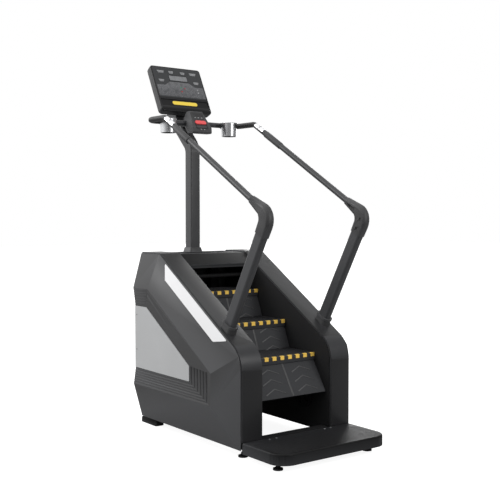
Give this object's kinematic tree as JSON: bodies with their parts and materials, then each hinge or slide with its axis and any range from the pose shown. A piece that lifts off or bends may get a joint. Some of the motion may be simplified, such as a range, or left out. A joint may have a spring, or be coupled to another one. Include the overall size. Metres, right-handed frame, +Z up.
{
  "type": "stair climber",
  "caption": "Revolving-stair gym climber with a step-up platform, faceted side shrouds, inclined handrails with cup holders, and a console on a mast.",
  "frame": {"origin": "centre of the bounding box, on the floor", "axes": "+X the climber's right, +Y from the platform towards the console, +Z up"},
  "size_m": [0.876, 1.6276, 2.2395],
  "materials": {
    "moulded_cover": "satin",
    "channel_paint": "satin",
    "frame_paint": "satin",
    "silver_panel": "satin",
    "stripe_film": "satin",
    "platform_plastic": "matte",
    "rubber_pad": "matte",
    "console_gloss": "gloss",
    "membrane": "matte",
    "display_glass": "gloss",
    "yellow_trim": "satin",
    "red_button": "gloss",
    "polished_steel": "polished",
    "tread_plastic": "matte",
    "bare_steel": "machined",
    "dark_steel": "machined",
    "cast_iron": "machined",
    "motor_alloy": "cast",
    "inlet_plastic": "matte"
  },
  "bodies": {
    "machine_frame": {"accent_stripes": "stripe_film", "alternator": "motor_alloy", "base_cross_members": "frame_paint", "base_rail_left": "frame_paint", "base_rail_right": "frame_paint", "console_back": "moulded_cover", "console_bracket": "frame_paint", "console_housing": "console_gloss", "console_overlay": "membrane", "console_strip": "yellow_trim", "cup_holder_left": "polished_steel", "cup_holder_right": "polished_steel", "drive_belt": "rubber_pad", "elbow_cover_left": "moulded_cover", "elbow_cover_right": "moulded_cover", "elbow_screws": "bare_steel", "front_crossbar": "frame_paint", "guard_bar": "frame_paint", "handrail_lower_left": "frame_paint", "handrail_lower_right": "frame_paint", "handrail_upper_left": "frame_paint", "handrail_upper_right": "frame_paint", "inset_panels": "silver_panel", "keypad_pod": "moulded_cover", "led_window": "display_glass", "mast": "channel_paint", "mast_boot": "moulded_cover", "platform_deck": "platform_plastic", "power_inlet": "inlet_plastic", "pulse_sensor_plates": "polished_steel", "rail_collar_left": "moulded_cover", "rail_collar_right": "moulded_cover", "rear_cover": "moulded_cover", "rear_foot_pads": "rubber_pad", "rear_frame": "frame_paint", "shaft_bearings": "bare_steel", "side_channel_left": "channel_paint", "side_channel_right": "channel_paint", "side_shroud_left": "moulded_cover", "side_shroud_right": "moulded_cover", "side_wall_left": "frame_paint", "side_wall_right": "frame_paint", "top_tray": "moulded_cover"},
    "stair_run": {"step_tread_1": "tread_plastic", "step_tread_2": "tread_plastic", "step_tread_3": "tread_plastic", "step_riser_1": "tread_plastic", "step_riser_2": "tread_plastic", "step_riser_3": "tread_plastic", "nosing_markers": "yellow_trim", "run_chains": "dark_steel"},
    "stair_return": {"return_steps": "tread_plastic"},
    "lower_shaft": {"lower_sprocket_shaft": "dark_steel"},
    "upper_shaft": {"upper_sprocket_shaft": "dark_steel"},
    "flywheel_rotor": {"flywheel": "cast_iron"},
    "stop_key": {"stop_button": "red_button"},
    "foot_front_left": {"levelling_foot_front_left": "rubber_pad"},
    "foot_front_right": {"levelling_foot_front_right": "rubber_pad"},
    "foot_middle_left": {"levelling_foot_middle_left": "rubber_pad"},
    "foot_middle_right": {"levelling_foot_middle_right": "rubber_pad"}
  },
  "joints": [
    {"name": "stair_climb", "type": "slide", "parent": "machine_frame", "child": "stair_run", "axis": [0, 0.8526, 0.5225], "range_m": [0, 0.09]},
    {"name": "stair_return_travel", "type": "slide", "parent": "machine_frame", "child": "stair_return", "axis": [0, -0.8526, -0.5225], "range_m": [0, 0.09]},
    {"name": "lower_shaft_turn", "type": "hinge", "parent": "machine_frame", "child": "lower_shaft", "pos_m": [0, -0.27492, 0.25123], "axis": [-1, 0, 0], "range_deg": [0, 61]},
    {"name": "upper_shaft_turn", "type": "hinge", "parent": "machine_frame", "child": "upper_shaft", "pos_m": [0, 0.32193, 0.61698], "axis": [-1, 0, 0], "range_deg": [0, 61]},
    {"name": "flywheel_turn", "type": "hinge", "parent": "machine_frame", "child": "flywheel_rotor", "pos_m": [0.332, 0.372, 0.262], "axis": [-1, 0, 0], "range_deg": [0, 242]},
    {"name": "stop_button_press", "type": "slide", "parent": "machine_frame", "child": "stop_key", "axis": [0, 0.8261, -0.5635], "range_m": [0, 0.004], "stiffness_N_per_m": 300, "springref_m": -0.004},
    {"name": "foot_front_left_screw", "type": "slide", "parent": "machine_frame", "child": "foot_front_left", "axis": [0, 0, 1], "range_m": [0, 0.012]},
    {"name": "foot_front_right_screw", "type": "slide", "parent": "machine_frame", "child": "foot_front_right", "axis": [0, 0, 1], "range_m": [0, 0.012]},
    {"name": "foot_middle_left_screw", "type": "slide", "parent": "machine_frame", "child": "foot_middle_left", "axis": [0, 0, 1], "range_m": [0, 0.012]},
    {"name": "foot_middle_right_screw", "type": "slide", "parent": "machine_frame", "child": "foot_middle_right", "axis": [0, 0, 1], "range_m": [0, 0.012]}
  ],
  "couplings": [
    {"joint": "stair_return_travel", "follows": "stair_climb", "ratio": 1},
    {"joint": "lower_shaft_turn", "follows": "stair_climb", "rad_per_m": 11.765},
    {"joint": "upper_shaft_turn", "follows": "stair_climb", "rad_per_m": 11.765},
    {"joint": "flywheel_turn", "follows": "stair_climb", "rad_per_m": 46.623}
  ]
}
